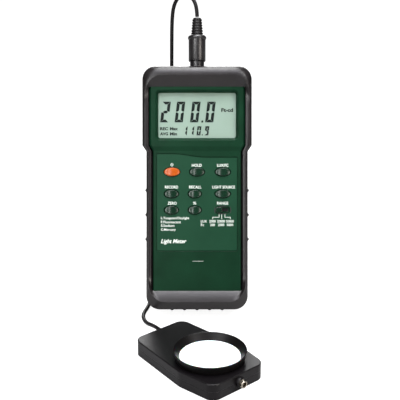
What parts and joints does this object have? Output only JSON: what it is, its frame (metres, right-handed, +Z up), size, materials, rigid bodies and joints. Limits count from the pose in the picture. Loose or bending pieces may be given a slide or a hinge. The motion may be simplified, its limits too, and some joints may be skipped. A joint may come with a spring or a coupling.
{
  "type": "handheld light meter",
  "caption": "Handheld light meter with display, oval keys, rubber holster and tilt stand, wired to a flat sensor head with a round white diffuser.",
  "frame": {"origin": "on the bench, at the middle of the floor area that the leaning meter and its sensor head cover together", "axes": "+X to the right as the display is read, +Y away from the user, +Z up"},
  "size_m": [0.0883, 0.2329, 0.2435],
  "materials": {
    "holster_rubber": "moulded, satin",
    "housing_green": "fine moulded grain",
    "key_green": "glossy moulded",
    "key_orange": "glossy moulded",
    "panel_green": "printed overlay",
    "clear_lens": "clear moulded window",
    "lcd_glass": "reflective display cell",
    "white_plastic": "moulded",
    "strip_rubber": "moulded strip",
    "board_green": "lacquered glass fibre",
    "chip_black": "moulded",
    "screw_steel": "zinc plated",
    "battery_can": "printed steel can",
    "lead_red": "extruded",
    "stand_black": "moulded",
    "nickel": "nickel plated",
    "contact_brass": "plated",
    "plug_plastic": "moulded, polished",
    "cord_rubber": "moulded, satin",
    "cord_pvc": "extruded, satin",
    "tie_plastic": "moulded nylon",
    "sensor_plastic": "fine moulded grain",
    "hood_plastic": "fine moulded grain",
    "opal_plastic": "opal, satin",
    "diode_ceramic": "fired body",
    "filter_glass": "tinted, polished"
  },
  "bodies": {
    "meter": {"holster": "holster_rubber", "front_shell": "housing_green", "rear_shell": "housing_green", "display_window": "clear_lens", "lcd_panel": "lcd_glass", "lcd_frame": "white_plastic", "contact_strips": "strip_rubber", "main_board": "board_green", "chips": "chip_black", "key_switches": "chip_black", "range_switch": "chip_black", "board_screws": "screw_steel", "case_screws": "screw_steel", "keypad_panel": "panel_green", "battery": "battery_can", "battery_snap": "chip_black", "battery_leads": "lead_red", "stand_pin": "screw_steel", "sensor_socket": "chip_black", "socket_nut": "nickel", "plug_shell": "nickel", "plug_insert": "chip_black", "plug_pins": "contact_brass", "plug_sleeve": "plug_plastic", "plug_boot": "cord_rubber", "sensor_base": "sensor_plastic", "sensor_cover": "sensor_plastic", "sensor_hood": "hood_plastic", "diffuser": "opal_plastic", "sensor_board": "board_green", "photodiode": "diode_ceramic", "filter_tube": "hood_plastic", "colour_filter": "filter_glass", "sensor_screws": "screw_steel", "sensor_grommet": "cord_rubber", "end_bush": "nickel", "cord_upper": "cord_pvc", "cord_lower": "cord_pvc", "cord_coil": "cord_pvc", "cord_tie": "tie_plastic"},
    "power_button": {"power_button": "key_orange"},
    "hold_button": {"hold_button": "key_green"},
    "units_button": {"units_button": "key_green"},
    "record_button": {"record_button": "key_green"},
    "recall_button": {"recall_button": "key_green"},
    "light_source_button": {"light_source_button": "key_green"},
    "zero_button": {"zero_button": "key_green"},
    "percent_button": {"percent_button": "key_green"},
    "range_slider": {"range_slider": "key_green"},
    "battery_cover": {"battery_cover": "housing_green"},
    "tilt_stand": {"tilt_stand": "stand_black"}
  },
  "joints": [
    {"name": "power_press", "type": "slide", "parent": "meter", "child": "power_button", "axis": [0, 0.9483, -0.3173], "range_m": [0, 0.0008], "stiffness_N_per_m": 900, "springref_m": -0.0002},
    {"name": "hold_press", "type": "slide", "parent": "meter", "child": "hold_button", "axis": [0, 0.9483, -0.3173], "range_m": [0, 0.0008], "stiffness_N_per_m": 900, "springref_m": -0.0002},
    {"name": "units_press", "type": "slide", "parent": "meter", "child": "units_button", "axis": [0, 0.9483, -0.3173], "range_m": [0, 0.0008], "stiffness_N_per_m": 900, "springref_m": -0.0002},
    {"name": "record_press", "type": "slide", "parent": "meter", "child": "record_button", "axis": [0, 0.9483, -0.3173], "range_m": [0, 0.0008], "stiffness_N_per_m": 900, "springref_m": -0.0002},
    {"name": "recall_press", "type": "slide", "parent": "meter", "child": "recall_button", "axis": [0, 0.9483, -0.3173], "range_m": [0, 0.0008], "stiffness_N_per_m": 900, "springref_m": -0.0002},
    {"name": "light_source_press", "type": "slide", "parent": "meter", "child": "light_source_button", "axis": [0, 0.9483, -0.3173], "range_m": [0, 0.0008], "stiffness_N_per_m": 900, "springref_m": -0.0002},
    {"name": "zero_press", "type": "slide", "parent": "meter", "child": "zero_button", "axis": [0, 0.9483, -0.3173], "range_m": [0, 0.0008], "stiffness_N_per_m": 900, "springref_m": -0.0002},
    {"name": "percent_press", "type": "slide", "parent": "meter", "child": "percent_button", "axis": [0, 0.9483, -0.3173], "range_m": [0, 0.0008], "stiffness_N_per_m": 900, "springref_m": -0.0002},
    {"name": "range_slide", "type": "slide", "parent": "meter", "child": "range_slider", "axis": [1, 0, 0], "range_m": [0, 0.006]},
    {"name": "cover_lift", "type": "slide", "parent": "meter", "child": "battery_cover", "axis": [0, 0.9483, -0.3173], "range_m": [0, 0.009]},
    {"name": "stand_hinge", "type": "hinge", "parent": "meter", "child": "tilt_stand", "pos_m": [-0.0008, 0.07839, 0.11218], "axis": [1, 0, 0], "range_deg": [-21, 0]}
  ]
}
